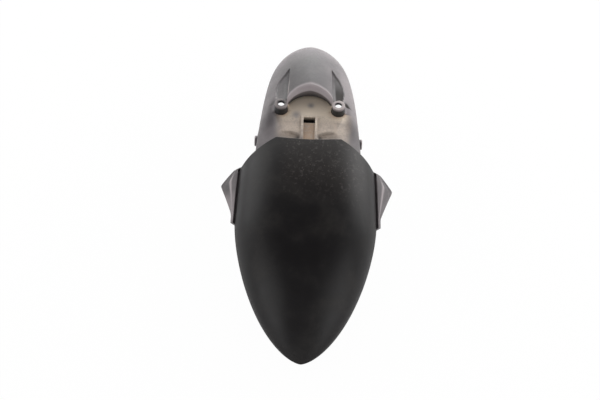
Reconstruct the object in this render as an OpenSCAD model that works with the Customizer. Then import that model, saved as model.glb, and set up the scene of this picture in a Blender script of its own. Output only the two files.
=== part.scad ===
// Motorcycle front mudguard for a 17 inch wheel with a 120/70 tyre.
// A painted front panel is screwed to a grained carrier moulding, whose rear is a dome over the tyre.
// Stations run round the wheel axis: angle 0 is straight above the axle, and grows to the front (-Y).

/* [Sweep round the wheel] */
// Radius of the rear dome's crown from the wheel axis
dome_r = 354; // [345:1:370]
// Angle at which the dome's crown ends at the tail
tail_angle = -63; // [-66:1:-60]
// Drop of the front panel's crown below the dome's, at the panel's rear edge
panel_drop = 37; // [34:0.5:39]
// Gain of the panel's radius from its rear edge to its tip
panel_rise = 15; // [11:0.5:20]
// Angle of the front panel's tip
tip_angle = 64.5; // [62:0.5:66]

/* [Rear dome section] */
// Half width of the dome at the top of the wheel
dome_half_w = 80; // [77:0.5:84]
// Half width lost for each degree toward the tail
dome_taper = 0.34; // [0.25:0.01:0.4]
// Depth of the dome's shoulder below its crown
shoulder_depth = 73; // [68:1:78]
// Height of the side wall below the shoulder
side_wall_h = 21; // [16:1:26]
// Outward flare of the side wall at its lower edge
side_flare = 6.5; // [4:0.5:8]
// Wall thickness of the carrier moulding
wall = 3; // [2.5:0.1:3.5]

/* [Recess and bosses] */
// Depth of the recess floor below the dome's crown
recess_depth = 40.4; // [39:0.2:42]
// Height of the boss tops above the recess floor
boss_h = 15; // [13:0.5:17]
// Distance between the two boss holes
boss_spacing = 88; // [84:1:92]
// Distance of the boss holes behind the wheel axis
boss_y = 51; // [49:0.5:53]
// Outer diameter of a boss
boss_d = 20; // [18:0.5:22]
// Diameter of a boss hole
boss_hole_d = 11; // [9:0.5:12]
// Thickness of a boss's top plate
boss_plate = 5; // [4:0.5:6]
// Height of the step's upper lip at the crown
lip_h = 18; // [15:1:22]
// Depth of the groove under the lip
lip_undercut = 5; // [2:0.5:7]
// Reach of the arched step behind the bosses' line
arch_rise = 32; // [28:1:36]
// Slope of the shelf that runs back from each boss
shelf_slope = 0.1975; // [0.15:0.0025:0.25]

/* [Slot and channel] */
// Width of the slot in the recess floor
slot_w = 18; // [14:0.5:20]
// Length of the slot
slot_l = 12; // [9:0.5:14]
// Distance of the slot's front end behind the wheel axis
slot_front_y = 26; // [24:0.5:28]
// Width of a channel rail
rail_w = 3.5; // [2.5:0.25:4.5]
// Height of a channel rail above the floor
rail_h = 2.4; // [1.5:0.1:3.5]
// Depth of the blind pocket under the slot
pocket_depth = 9; // [6:0.5:10]

/* [Fork mounts] */
// Diameter of a fork mount pad
pad_d = 16; // [14:0.5:18]
// How far a pad stands out from the side wall
pad_proud = 3.5; // [2:0.5:5]
// Diameter of a fork mount hole
pad_hole_d = 6.5; // [5.5:0.5:8]
// Distance of the fork mount holes behind the wheel axis
pad_y = 26; // [24:0.5:30]

/* [Front panel] */
// Half width of the panel at its wide corners
panel_half_w = 103; // [100:0.5:106]
// Half width gained along the ears
panel_spread = 4; // [2:0.5:5]
// Depth of the panel's side edge below its crown
panel_depth = 53; // [49:1:57]
// Wall thickness of the panel
panel_wall = 3; // [2.5:0.1:3.5]
// Gap between the panel and the carrier under it
lap_gap = 0.4; // [0.3:0.05:0.8]

/* [Ears] */
// Half width over the ear tips
ear_half_w = 133; // [128:0.5:138]
// Width of the groove between the panel and an ear
groove_w = 2.8; // [2:0.2:4]
// Angle of the ear tip
ear_tip_angle = 11.2; // [10:0.2:12]
// Angle at which an ear ends in front
ear_front_angle = 25.4; // [24:0.2:27]
// Angle at which the carrier ends under the panel
carrier_front_angle = 31; // [30:0.5:33]

/* [Panel screws] */
// Distance of the panel screws from the centre line
screw_x = 62; // [56:1:66]
// Angle of the rear row of panel screws
screw_rear_angle = 12; // [11:0.5:14]
// Angle of the front row of panel screws
screw_front_angle = 25; // [22:0.5:26]
// Shank diameter of a panel screw
screw_d = 4; // [3.5:0.1:5]
// Clearance round the shank
screw_clear = 0.2; // [0.1:0.05:0.4]
// Head diameter of a panel screw
screw_head_d = 12; // [10:0.5:14]
// Height of a screw's flanged head
screw_head_h = 2.8; // [2.2:0.1:3.6]
// Diameter of the panel's moulded studs
stud_d = 8.5; // [7.5:0.25:10]
// Clearance between a stud and its hole in the carrier
stud_clear = 0.3; // [0.2:0.05:0.6]
// Thickness of the flat seat under a screw head
seat_h = 2.5; // [2:0.25:3.5]

/* [Hidden] */

// Section exponents: the dome has a soft crest, the panel a flat top with round shoulders
crest_p = 1.34;
side_q = 2.17;
panel_p = 2.6;
panel_q = 2.4;
// The panel's section stops a little short of vertical at its edge
panel_edge_cut = 1.04;
// Angles between which the panel's edge runs from its wide corner to the free side
corner_angle = 6;
free_angle = 26;
// How the panel's width and depth close toward the tip, and the depth it gains beside the ears
tip_w_p = 1.65;
tip_d_p = 1.3;
panel_deepening = 3;
// The panel's rear edge bows forward a little in the middle and runs forward outside its corners
edge_angle = 2;
edge_bow = 0.7;
edge_bow_w = 52;
edge_corner_x = 49;
edge_corner_run = 54;
edge_turn = 4.8;
edge_turn_p = 0.75;
// Column at which the scoops' inner wall stands, as a share of the dome's half width
scoop_share = 0.46;
// Line of the step outside the arch, and the arch's half width
step_y = boss_y - 4;
arch_half_w = boss_spacing/2 - 8;
arch_fade = 8;
// The shelves lean outward, and the boss tops stand a little proud of them
shelf_tilt = 0.35;
boss_proud = 0.6;

floor_z = dome_r - recess_depth;
panel_rear_r = dome_r - panel_drop;
panel_tip_r = panel_rear_r + panel_rise;
boss_top_z = floor_z + boss_h;
shelf_y = boss_y + boss_d/2;
wall_low_r = dome_r - shoulder_depth - side_wall_h;
// The part stands on the panel's tip and on the two lower corners of the tail
rest_z = (panel_tip_r - panel_wall)*cos(tip_angle);
tail_corner_angle = -acos(rest_z/wall_low_r);
front_y = -panel_tip_r*sin(tip_angle);
tail_y = -dome_r*sin(tail_angle);
origin_shift = [0, -(front_y + tail_y)/2, -rest_z];

function mix(a, b, k) = a + (b - a)*k;
function clamp01(k) = min(1, max(0, k));
function smooth(k) = let (c = clamp01(k)) c*c*(3 - 2*c);
function at(x, r, angle) = [x, -r*sin(angle), r*cos(angle)];
// Lower of two radii with a fillet between them
function soft_min(a, b, fillet) = (a + b - sqrt((a - b)*(a - b) + fillet*fillet))/2;

// Front panel: crown radius, half width and edge depth at an angle
function panel_r(angle) = mix(panel_rear_r, panel_tip_r, (angle - edge_angle)/(tip_angle - edge_angle));
function free_share(angle) = clamp01((angle - free_angle)/(tip_angle - free_angle));
function side_share(angle) = clamp01((angle - corner_angle)/(free_angle - corner_angle));
function panel_w(angle) =
    (panel_half_w + panel_spread*side_share(angle))*sqrt(1 - pow(free_share(angle), tip_w_p));
function panel_d(angle) =
    (panel_depth + panel_deepening*side_share(angle))*sqrt(1 - pow(free_share(angle), tip_d_p));
function bulge(u) = 1 - pow(max(0, 1 - pow(min(1, u), panel_p)), 1/panel_q);
function panel_sag(x, angle) =
    panel_d(angle)*bulge(abs(x)/panel_w(angle)/panel_edge_cut)/bulge(1/panel_edge_cut);

// Dome: half width at an angle, and drop of the section below the crown
function dome_w(angle) = dome_half_w + dome_taper*angle;
function dome_sag(x, half, depth) = depth*(1 - pow(max(0, 1 - pow(min(1, abs(x)/half), crest_p)), 1/side_q));
function dome_radius(x, angle, off) = dome_r - off - dome_sag(x, dome_w(angle) - off, shoulder_depth - off);
// Shelf that runs back from a boss into the dome, as a radius
function shelf_z(x, angle, off) =
    let (top = boss_top_z - boss_proud - off - shelf_tilt*max(0, x - boss_spacing/2 + 4))
    min(top, (top + shelf_slope*shelf_y)/(1 + shelf_slope*tan(-angle)));
function rear_radius(share, x, angle, off) =
    share < scoop_share ? dome_radius(x, angle, off)
    : min(dome_radius(x, angle, off), shelf_z(x, angle, off)/cos(angle));

// Columns of the carrier's roof, as shares of the half width, closer at the scoops' inner wall,
// and steps down its side
roof_shares = [
    0, 0.09, 0.18, 0.27, 0.35, 0.42, scoop_share - 0.008, scoop_share + 0.008,
    0.53, 0.6, 0.67, 0.74, 0.81, 0.87, 0.925, 0.965, 1];
roof_n = len(roof_shares) - 1;
side_n = 7;
cols_half = roof_n + side_n;

// Plan line of the step, seen from above
function step_line(x) = step_y + arch_rise*sqrt(max(0, 1 - pow(x/arch_half_w, 2)));
function arch_share(x) = smooth((arch_half_w + arch_fade/2 - abs(x))/arch_fade);
function inner_x(share, half, off) = share*half - off*min(1, share/scoop_share);

// Rows of the carrier: dome, step, floor and the part under the panel
dome_rows = 15;
floor_rows = 6;
lip_rows = 5;
front_rows = 14;
// The dome's rows crowd toward the step, and the rows under the panel toward its rear edge
dome_crowding = 1.6;
front_crowding = 1.35;
// Angles of the dome's width at the step and at its foot, and of the floor's width
step_w_angle = -10;
foot_w_angle = -8;
floor_w_angle = -4;
// Angle at which the rows under the panel begin
front_start = 1.2;
// The floor's last rows end this far in front of the axle for each degree of that angle
mm_per_degree = 5.5;

// Angle of the step, found from its place behind the axle at a radius near the boss tops
step_guess_r = 330;
function step_angle(share, off) =
    let (x = inner_x(share, dome_w(step_w_angle), off))
    let (y = step_line(x) + off)
    -asin(y/rear_radius(share, x, -asin(y/step_guess_r), off));

function tail_line(share) = mix(tail_angle, tail_corner_angle, share*share);

function dome_row(k, share, off) =
    let (v = 1 - pow(1 - k/dome_rows, dome_crowding))
    let (angle = mix(tail_line(share), step_angle(share, off), v))
    let (x = inner_x(share, dome_w(angle), off))
    at(x, rear_radius(share, x, angle, off), angle);

// The floor runs into the sides with a fillet
floor_fillet = 7;
function floor_radius(x, angle, off) =
    soft_min((floor_z - off)/cos(angle), dome_radius(x, angle, off), floor_fillet);

// The step's foot: behind the step line under the arch, and a little in front of it outside
foot_lead = 1.5;
function foot_y(x, off) = step_line(x) + off + mix(-foot_lead, lip_undercut, arch_share(x));
function foot_point(share, off) =
    let (x = inner_x(share, dome_w(foot_w_angle), off))
    let (angle = -atan(foot_y(x, off)/(floor_z - off)))
    at(x, floor_radius(x, angle, off), angle);

// The lip's lower edge leans forward a little and takes at most this share of the step
lip_lead = 0.7;
lip_share = 0.72;
function lip_point(share, off) =
    let (top = dome_row(dome_rows, share, off))
    let (foot = foot_point(share, off))
    let (drop = min(lip_h, lip_share*(top[2] - foot[2])))
    [(top[0] + foot[0])/2, step_line(top[0]) + off - lip_lead, top[2] - drop];

// Two hollows beside the channel, where the floor dips under the panel's edge. Their rear edge
// comes forward beside the channel.
valley_y = 9;
valley_depth = 4;
valley_ramp = 10;
valley_sweep = 10;
valley_sweep_x = 13;
valley_sweep_w = 28;
valley_inner_x = 12.5;
valley_outer_x = 48;
function valley(x, y) =
    let (edge = valley_y - valley_sweep*(1 - clamp01((abs(x) - valley_sweep_x)/valley_sweep_w)))
    let (across = smooth((abs(x) - valley_inner_x)/4)*smooth((valley_outer_x - abs(x))/16))
    valley_depth*smooth((edge - y)/valley_ramp)*across;

function floor_row(k, share, off) =
    let (x0 = inner_x(share, dome_w(floor_w_angle), off))
    let (y = k <= floor_rows ? mix(foot_y(x0, off), valley_y, k/floor_rows)
        : mix(valley_y, -front_start*mm_per_degree, (k - floor_rows)/lip_rows))
    let (angle = -atan(y/(floor_z - off)))
    let (x = inner_x(share, dome_w(angle), off))
    at(x, covered_radius(x, angle, off) - valley(x, y), angle);

// Angle of the panel's rear edge at a distance from the centre line
function panel_rear_angle(x) =
    let (turn = pow(clamp01((abs(x) - edge_corner_x)/edge_corner_run), edge_turn_p))
    edge_angle - edge_bow*pow(min(1, abs(x)/edge_bow_w), 2) + edge_turn*turn;

// Point under the panel's surface, square to its section
function panel_slope(x, angle) =
    let (b = min(x, panel_w(angle) - 0.06))
    x == 0 ? 0 : atan((panel_sag(b + 0.05, angle) - panel_sag(b - 0.05, angle))/0.1);
function under_panel(x, angle, depth) =
    let (lean = panel_slope(x, angle))
    [x - depth*sin(lean), panel_r(angle) - panel_sag(x, angle) - depth*cos(lean)];
lap = panel_wall + lap_gap;

// The floor and dome side, kept below the panel from just behind its rear edge
cover_start = 2;
cover_run = 2.5;
function covered_radius(x, angle, off) =
    let (own = floor_radius(x, angle, off))
    let (cover = panel_r(angle) - panel_sag(x, angle) - (lap + off)/cos(panel_slope(x, angle)))
    mix(own, min(own, cover), smooth((angle + cover_start)/cover_run));

// The rows under the panel leave the floor between these angles, and end inside the panel's edge
leave_start = 3;
leave_span = 3.6;
dip_span = 3;
edge_inset = 0.8;
function front_row(k, share, off) =
    let (angle = mix(front_start, carrier_front_angle, pow(k/front_rows, front_crowding)))
    let (x = inner_x(share, dome_w(angle), off))
    let (dip = valley(x, -panel_rear_r*sin(angle))*(1 - smooth((angle - leave_start)/dip_span)))
    let (lapped = under_panel(share*(panel_w(angle) - edge_inset), angle, lap + off))
    let (blend = smooth((angle - leave_start)/leave_span))
    at(mix(x, lapped[0], blend), mix(covered_radius(x, angle, off) - dip, lapped[1], blend), angle);

function roof_point(row, share, off) =
    row <= dome_rows ? dome_row(row, share, off)
    : row == dome_rows + 1 ? lip_point(share, off)
    : row == dome_rows + 2 ? foot_point(share, off)
    : row <= dome_rows + 2 + floor_rows + lip_rows ? floor_row(row - dome_rows - 2, share, off)
    : front_row(row - dome_rows - 2 - floor_rows - lip_rows, share, off);
rows = dome_rows + 2 + floor_rows + lip_rows + front_rows + 1;

// Side of the carrier below its roof: a flared wall, a short lip in the fork notch, then the ear
function angle_of(p) = atan2(-p[1], p[2]);
function radius_of(p) = norm([p[1], p[2]]);
notch_wall_h = 5;
notch_angle = -4.5;
notch_ramp = 6;
function wall_drop(angle) = mix(side_wall_h, notch_wall_h, smooth((angle - notch_angle)/notch_ramp));
// An ear grows from its root angle to its tip and narrows to its end in front, with hollow edges
ear_root_angle = corner_angle - 0.4;
ear_end_w = 4;
ear_edge_p = 0.85;
function ear_reach(angle) =
    let (full = ear_half_w - panel_half_w - groove_w)
    let (rise = clamp01((angle - ear_root_angle)/(ear_tip_angle - ear_root_angle)))
    let (fall = clamp01((angle - ear_tip_angle)/(ear_front_angle - ear_tip_angle)))
    angle < ear_tip_angle ? full*pow(rise, ear_edge_p) : mix(full, ear_end_w, pow(fall, ear_edge_p));
function ear_on(angle) = smooth((angle - corner_angle)/1.2)*(1 - smooth((angle - ear_front_angle)/1.6));

// Points across an ear: a joggle under the panel's edge, the flush strip, the ridge, the scooped zone.
// Each has a distance from the panel's edge, a share of the reach, a drop and a fall with the reach.
joggle_depth = 4.6;
joggle_floor_w = 4.1;
flush_drop = 0.8;
strip_share = 0.46;
ridge_share = 0.58;
scoop_mid_share = 0.8;
ear_x = [
    0, groove_w - 1.2 - joggle_floor_w, groove_w - 1.2, groove_w,
    groove_w, groove_w, groove_w, groove_w];
ear_share = [0, 0, 0, 0, strip_share, ridge_share, scoop_mid_share, 1];
ear_drop = [1, joggle_depth, joggle_depth, flush_drop, flush_drop, flush_drop, flush_drop, flush_drop];
ear_fall = [0, 0, 0, 0, 0.2, 0.42, 0.78, 0.88];
// Where an ear begins and ends, the section sinks under the panel
ear_tuck = 20;
function ear_point(step, angle, off) =
    let (reach = ear_reach(angle))
    let (edge_x = panel_w(angle))
    let (edge_r = panel_r(angle) - panel_sag(edge_x, angle))
    let (x = edge_x + ear_x[step] + reach*ear_share[step])
    let (r = edge_r - ear_drop[step] - reach*ear_fall[step])
    off == 0 ? [x, r]
    : step == 1 ? [x - 0.7*off, r - off]
    : step == 2 ? [x + off/3, r - off]
    : step == 3 ? [x + 0.15*reach, edge_r - joggle_depth - 0.8*off]
    : [x - off*min(0.5, reach/30), min(r - 0.87*off, edge_r - joggle_depth - 0.8*off)];

function side_point(row, step, off) =
    let (top = roof_point(row, 1, off))
    let (angle = angle_of(top))
    let (r = radius_of(top))
    let (k = step/side_n)
    let (drop = wall_drop(angle))
    let (plain = [top[0] + side_flare*k*drop/side_wall_h, r - drop*k])
    let (ear = ear_point(step, angle, off))
    let (on = ear_on(angle))
    let (tuck = ear_tuck*on*(1 - on))
    at(mix(plain[0], ear[0], on), mix(plain[1], ear[1], on) - tuck, angle);

function carrier_point(row, col, off) =
    let (c = abs(col))
    let (p = c <= roof_n ? roof_point(row, roof_shares[c], off) : side_point(row, c - roof_n, off))
    col < 0 ? [-p[0], p[1], p[2]] : p;

// A closed skin from an outer and an inner grid of the same size
module skin(outer, inner) {
    m = len(outer);
    n = len(outer[0]);
    function id(side, i, j) = side*m*n + i*n + j;
    function corners(side, i, j) =
        [id(side, i, j), id(side, i, j + 1), id(side, i + 1, j + 1), id(side, i + 1, j)];
    cells = [for (i = [0:m - 2], j = [0:n - 2]) [i, j]];
    quads = concat(
        [for (c = cells) corners(0, c[0], c[1])],
        [for (c = cells) [for (k = [0, 3, 2, 1]) corners(1, c[0], c[1])[k]]],
        [for (i = [0:m - 2]) [id(0, i, 0), id(0, i + 1, 0), id(1, i + 1, 0), id(1, i, 0)]],
        [for (i = [0:m - 2]) [id(0, i, n - 1), id(1, i, n - 1), id(1, i + 1, n - 1), id(0, i + 1, n - 1)]],
        [for (j = [0:n - 2]) [id(0, 0, j), id(1, 0, j), id(1, 0, j + 1), id(0, 0, j + 1)]],
        [for (j = [0:n - 2]) [id(0, m - 1, j), id(0, m - 1, j + 1), id(1, m - 1, j + 1), id(1, m - 1, j)]]);
    faces = [for (q = quads) each [[q[0], q[1], q[2]], [q[0], q[2], q[3]]]];
    polyhedron([for (row = outer) each row, for (row = inner) each row], faces);
}

module carrier_shell() {
    outer = [for (row = [0:rows - 1]) [for (col = [-cols_half:cols_half]) carrier_point(row, col, 0)]];
    inner = [for (row = [0:rows - 1]) [for (col = [-cols_half:cols_half]) carrier_point(row, col, wall)]];
    skin(outer, inner);
}

// Rows of the front panel: from its shaped rear edge to straight rows, then to the tip
panel_cols = 14;
panel_blend_rows = 8;
panel_tip_rows = 17;
panel_blend_angle = 22;
// Its columns crowd toward the side edge, and its last row stops just short of the tip's point
share_turn = 90*0.92;
tip_margin = 0.012;
function panel_share(j) = sin(share_turn*j/panel_cols)/sin(share_turn);
function panel_row_angle(row, x) =
    row <= panel_blend_rows ? mix(panel_rear_angle(x), panel_blend_angle, row/panel_blend_rows)
    : mix(panel_blend_angle, tip_angle - tip_margin, sin(90*(row - panel_blend_rows)/panel_tip_rows));
function panel_point(row, col, off) =
    let (share = panel_share(abs(col)))
    let (angle = panel_row_angle(row, share*panel_half_w))
    let (p = under_panel(share*panel_w(angle), angle, off))
    at(col < 0 ? -p[0] : p[0], p[1], angle);

module panel_shell() {
    last = panel_blend_rows + panel_tip_rows;
    outer = [for (row = [0:last]) [for (col = [-panel_cols:panel_cols]) panel_point(row, col, 0)]];
    inner = [for (row = [0:last]) [for (col = [-panel_cols:panel_cols]) panel_point(row, col, panel_wall)]];
    skin(outer, inner);
}

// Bosses: a plate on a half-round wall in front, open to the inside of the dome behind
module on_each_side() {
    for (side = [-1, 1]) scale([side, 1, 1]) children();
}

module boss_body() {
    translate([boss_spacing/2, boss_y, floor_z - wall/2])
        cylinder(d = boss_d, h = boss_h + wall/2, $fn = 64);
}

// The spaces start below the floor, and the hole's ends above the plate
boss_clear = 8;
hole_over = 2;
window_step = 1;
window_over = 4;

module boss_space() {
    inside_d = boss_d - 2*wall;
    low = floor_z - wall - boss_clear;
    translate([boss_spacing/2, boss_y, low])
        cylinder(d = boss_hole_d, h = boss_h + wall + boss_clear + hole_over, $fn = 64);
    translate([boss_spacing/2, boss_y, low])
        cylinder(d = inside_d, h = boss_top_z - boss_plate - low, $fn = 64);
    translate([(boss_spacing - inside_d)/2, boss_y, low])
        cube([inside_d, boss_d/2 + window_over, boss_top_z - boss_plate - window_step - low]);
}

// Slot with its blind pocket, and the channel between two rails
slot_rear_y = slot_front_y + slot_l;
rail_gap = 1.5;
channel_end_y = -panel_rear_r*sin(edge_angle) + rail_gap;
pocket_wall = 2;
slot_over = 5;

module pocket_box() {
    translate([-slot_w/2 - pocket_wall, slot_front_y - pocket_wall, floor_z - pocket_depth - pocket_wall])
        cube([slot_w + 2*pocket_wall, slot_l + 2*pocket_wall, pocket_depth + pocket_wall - wall/2]);
}

module pocket_space() {
    translate([-slot_w/2, slot_front_y, floor_z - pocket_depth])
        cube([slot_w, slot_l, pocket_depth + slot_over]);
}

module rail() {
    translate([slot_w/2, channel_end_y, floor_z - wall/2])
        cube([rail_w, slot_rear_y - channel_end_y, rail_h + wall/2]);
}

// Fork mount pads on the side walls, level with the wheel axis's direction
pad_r = wall_low_r + pad_d/2;
pad_z = sqrt(pad_r*pad_r - pad_y*pad_y);
pad_x = dome_w(-asin(pad_y/pad_r)) + side_flare*(dome_r - shoulder_depth - pad_r)/side_wall_h;

pad_depth = wall + 1;
hole_clear = 4;

module pad_body() {
    translate([pad_x - pad_depth, pad_y, pad_z]) rotate([0, 90, 0])
        cylinder(d = pad_d, h = pad_depth + pad_proud, $fn = 64);
}

module pad_hole() {
    translate([pad_x - pad_depth - hole_clear, pad_y, pad_z]) rotate([0, 90, 0])
        cylinder(d = pad_hole_d, h = pad_depth + 2*hole_clear + 3, $fn = 48);
}

// Panel fixings: moulded studs pass through the carrier and take flanged screws from inside
screw_n = 4;
seat_z = -(panel_wall + lap_gap + wall + seat_h);
// A seat is wider than the screw's flange, and the stud ends just above the seat
seat_margin = 2;
stud_short = 0.3;
// The bore and the shank stop short of the panel's face
bore_end = 2.2;
shank_end = 3.2;
// The head is a thin flange with a tapered nut on it
flange_h = 1.2;
nut_low_share = 0.5;
nut_high_share = 0.72;

module at_screw(i) {
    side = i < 2 ? -1 : 1;
    angle = i % 2 == 0 ? screw_rear_angle : screw_front_angle;
    lean = panel_slope(screw_x, angle);
    translate(at(side*screw_x, panel_r(angle) - panel_sag(screw_x, angle), angle))
        rotate([angle, 0, 0]) rotate([0, side*lean, 0]) children();
}

module seat_body() {
    translate([0, 0, seat_z]) cylinder(d = screw_head_d + 2*seat_margin, h = seat_h + wall/2, $fn = 48);
}

module stud_hole() {
    translate([0, 0, seat_z - 3]) cylinder(d = stud_d + 2*stud_clear, h = -seat_z + 2, $fn = 48);
}

module stud_body() {
    translate([0, 0, seat_z + stud_short])
        cylinder(d = stud_d, h = -seat_z - stud_short - panel_wall/2, $fn = 48);
}

module stud_bore() {
    translate([0, 0, seat_z - 1])
        cylinder(d = screw_d + 2*screw_clear, h = 1 - seat_z - bore_end, $fn = 48);
}

module screw_body() {
    translate([0, 0, seat_z - flange_h]) cylinder(d = screw_head_d, h = flange_h, $fn = 48);
    translate([0, 0, seat_z - screw_head_h])
        cylinder(
            d1 = screw_head_d*nut_low_share,
            d2 = screw_head_d*nut_high_share,
            h = screw_head_h - 1,
            $fn = 48);
    translate([0, 0, seat_z - 0.5]) cylinder(d = screw_d, h = 0.5 - seat_z - shank_end, $fn = 48);
}

module rear_mudguard() {
    color("dimgray")
        difference() {
            union() {
                carrier_shell();
                on_each_side() boss_body();
                on_each_side() rail();
                on_each_side() pad_body();
                pocket_box();
                for (i = [0:screw_n - 1]) at_screw(i) seat_body();
            }
            on_each_side() boss_space();
            pocket_space();
            on_each_side() pad_hole();
            for (i = [0:screw_n - 1]) at_screw(i) stud_hole();
        }
}

module front_panel() {
    color([0.12, 0.12, 0.13])
        difference() {
            union() {
                panel_shell();
                for (i = [0:screw_n - 1]) at_screw(i) stud_body();
            }
            for (i = [0:screw_n - 1]) at_screw(i) stud_bore();
        }
}

module panel_screw(i) {
    color("silver") at_screw(i) screw_body();
}

translate(origin_shift) {
    rear_mudguard();
    front_panel();
    for (i = [0:screw_n - 1])
        panel_screw(i);
}
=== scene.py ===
"""Looks of a motorcycle front mudguard: a grained carrier moulding under a satin painted panel."""

import math

import bmesh
import bpy
import numpy as np
from bpy.props import FloatProperty, PointerProperty, StringProperty
from mathutils import Matrix, Vector


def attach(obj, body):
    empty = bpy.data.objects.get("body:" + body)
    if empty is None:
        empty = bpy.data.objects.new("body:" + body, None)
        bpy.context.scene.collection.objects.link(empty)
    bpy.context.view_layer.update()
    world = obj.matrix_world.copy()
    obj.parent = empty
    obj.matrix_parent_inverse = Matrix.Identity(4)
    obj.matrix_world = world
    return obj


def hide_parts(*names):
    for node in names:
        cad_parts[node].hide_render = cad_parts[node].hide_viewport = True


bl_info = {
    "name": "Motorcycle front mudguard",
    "version": (1, 0, 0),
    "blender": (4, 5, 0),
    "location": "3D View > Sidebar > Mudguard",
    "description": "Builds the mudguard's smooth mouldings and finishes round its packed solids",
    "category": "Add Mesh",
}

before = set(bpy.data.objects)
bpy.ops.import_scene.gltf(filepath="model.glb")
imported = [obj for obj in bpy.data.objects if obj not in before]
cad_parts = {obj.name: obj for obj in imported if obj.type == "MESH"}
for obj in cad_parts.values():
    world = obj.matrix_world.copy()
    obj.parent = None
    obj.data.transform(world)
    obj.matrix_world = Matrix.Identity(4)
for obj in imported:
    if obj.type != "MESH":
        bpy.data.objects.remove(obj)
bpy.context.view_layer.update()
MM = 0.001
# Places of the mix node's sockets, several of which share a name.
MIX_FACTOR, MIX_LEVEL_A, MIX_LEVEL_B, MIX_COLOUR_A, MIX_COLOUR_B, MIX_COLOUR = 0, 2, 3, 6, 7, 2


class MudguardSizes(bpy.types.PropertyGroup):
    """Driving sizes: lengths in millimetres, as the camera unit shows them, and degrees round the axle"""

    dome_r: FloatProperty(
        name="Dome radius", description="Crown of the rear dome from the axle", default=354, unit="CAMERA"
    )
    dome_half_w: FloatProperty(
        name="Dome half width", description="Half width over the axle", default=80, unit="CAMERA"
    )
    dome_taper: FloatProperty(name="Dome taper", description="Half width lost per degree", default=0.34)
    tail_angle: FloatProperty(name="Tail angle", description="Where the dome's crown ends", default=-63)
    shoulder_depth: FloatProperty(
        name="Shoulder depth", description="Crown to shoulder", default=73, unit="CAMERA"
    )
    side_wall_h: FloatProperty(
        name="Side wall height", description="Below the shoulder", default=21, unit="CAMERA"
    )
    side_flare: FloatProperty(
        name="Side flare", description="Outward lean of the side wall", default=3.5, unit="CAMERA"
    )
    wall: FloatProperty(name="Wall", description="Wall of both mouldings", default=3, unit="CAMERA")
    floor_z: FloatProperty(
        name="Floor height", description="Recess floor over the axle", default=313.6, unit="CAMERA"
    )
    boss_h: FloatProperty(
        name="Boss height", description="Boss tops over the floor", default=15, unit="CAMERA"
    )
    boss_spacing: FloatProperty(
        name="Boss spacing", description="Between the holes", default=88, unit="CAMERA"
    )
    boss_y: FloatProperty(name="Boss place", description="Holes behind the axle", default=51, unit="CAMERA")
    boss_d: FloatProperty(name="Boss diameter", description="Outer diameter", default=20, unit="CAMERA")
    boss_hole_d: FloatProperty(name="Boss hole", description="Hole diameter", default=11, unit="CAMERA")
    panel_rear_r: FloatProperty(
        name="Panel rear radius", description="Crown at its rear edge", default=317, unit="CAMERA"
    )
    panel_tip_r: FloatProperty(
        name="Panel tip radius", description="Crown at its tip", default=332, unit="CAMERA"
    )
    tip_angle: FloatProperty(name="Tip angle", description="Where the panel ends", default=64.5)
    panel_half_w: FloatProperty(
        name="Panel half width", description="At its wide corners", default=103, unit="CAMERA"
    )
    panel_spread: FloatProperty(
        name="Panel spread", description="Gained along the ears", default=4, unit="CAMERA"
    )
    panel_depth: FloatProperty(
        name="Panel depth", description="Side edge below the crown", default=53, unit="CAMERA"
    )
    lap_gap: FloatProperty(name="Lap gap", description="Panel to carrier", default=0.4, unit="CAMERA")
    rear_corner_x: FloatProperty(
        name="Panel corner", description="Rear corners from the middle", default=49.6, unit="CAMERA"
    )
    ear_half_w: FloatProperty(
        name="Ear half width", description="Over the ear tips", default=130.8, unit="CAMERA"
    )
    groove_w: FloatProperty(name="Groove", description="Between panel and ear", default=2.8, unit="CAMERA")
    slot_w: FloatProperty(name="Slot width", description="In the recess floor", default=18, unit="CAMERA")
    slot_l: FloatProperty(name="Slot length", description="Along the wheel", default=12, unit="CAMERA")
    slot_front_y: FloatProperty(
        name="Slot place", description="Front end behind the axle", default=26, unit="CAMERA"
    )
    rail_w: FloatProperty(name="Rail width", description="Beside the channel", default=3.5, unit="CAMERA")
    rail_h: FloatProperty(name="Rail height", description="Above the floor", default=2.4, unit="CAMERA")
    pad_d: FloatProperty(name="Pad diameter", description="Fork mount pads", default=16, unit="CAMERA")
    pad_hole_d: FloatProperty(name="Pad hole", description="Fork mount holes", default=6.5, unit="CAMERA")
    pad_y: FloatProperty(name="Pad place", description="Behind the axle", default=26, unit="CAMERA")
    screw_x: FloatProperty(name="Screw place", description="From the middle", default=62, unit="CAMERA")
    screw_rear_angle: FloatProperty(name="Rear screws", description="Angle of the row", default=12)
    screw_front_angle: FloatProperty(name="Front screws", description="Angle of the row", default=25)
    stud_d: FloatProperty(
        name="Stud diameter", description="Moulded on the panel", default=8.5, unit="CAMERA"
    )


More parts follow.
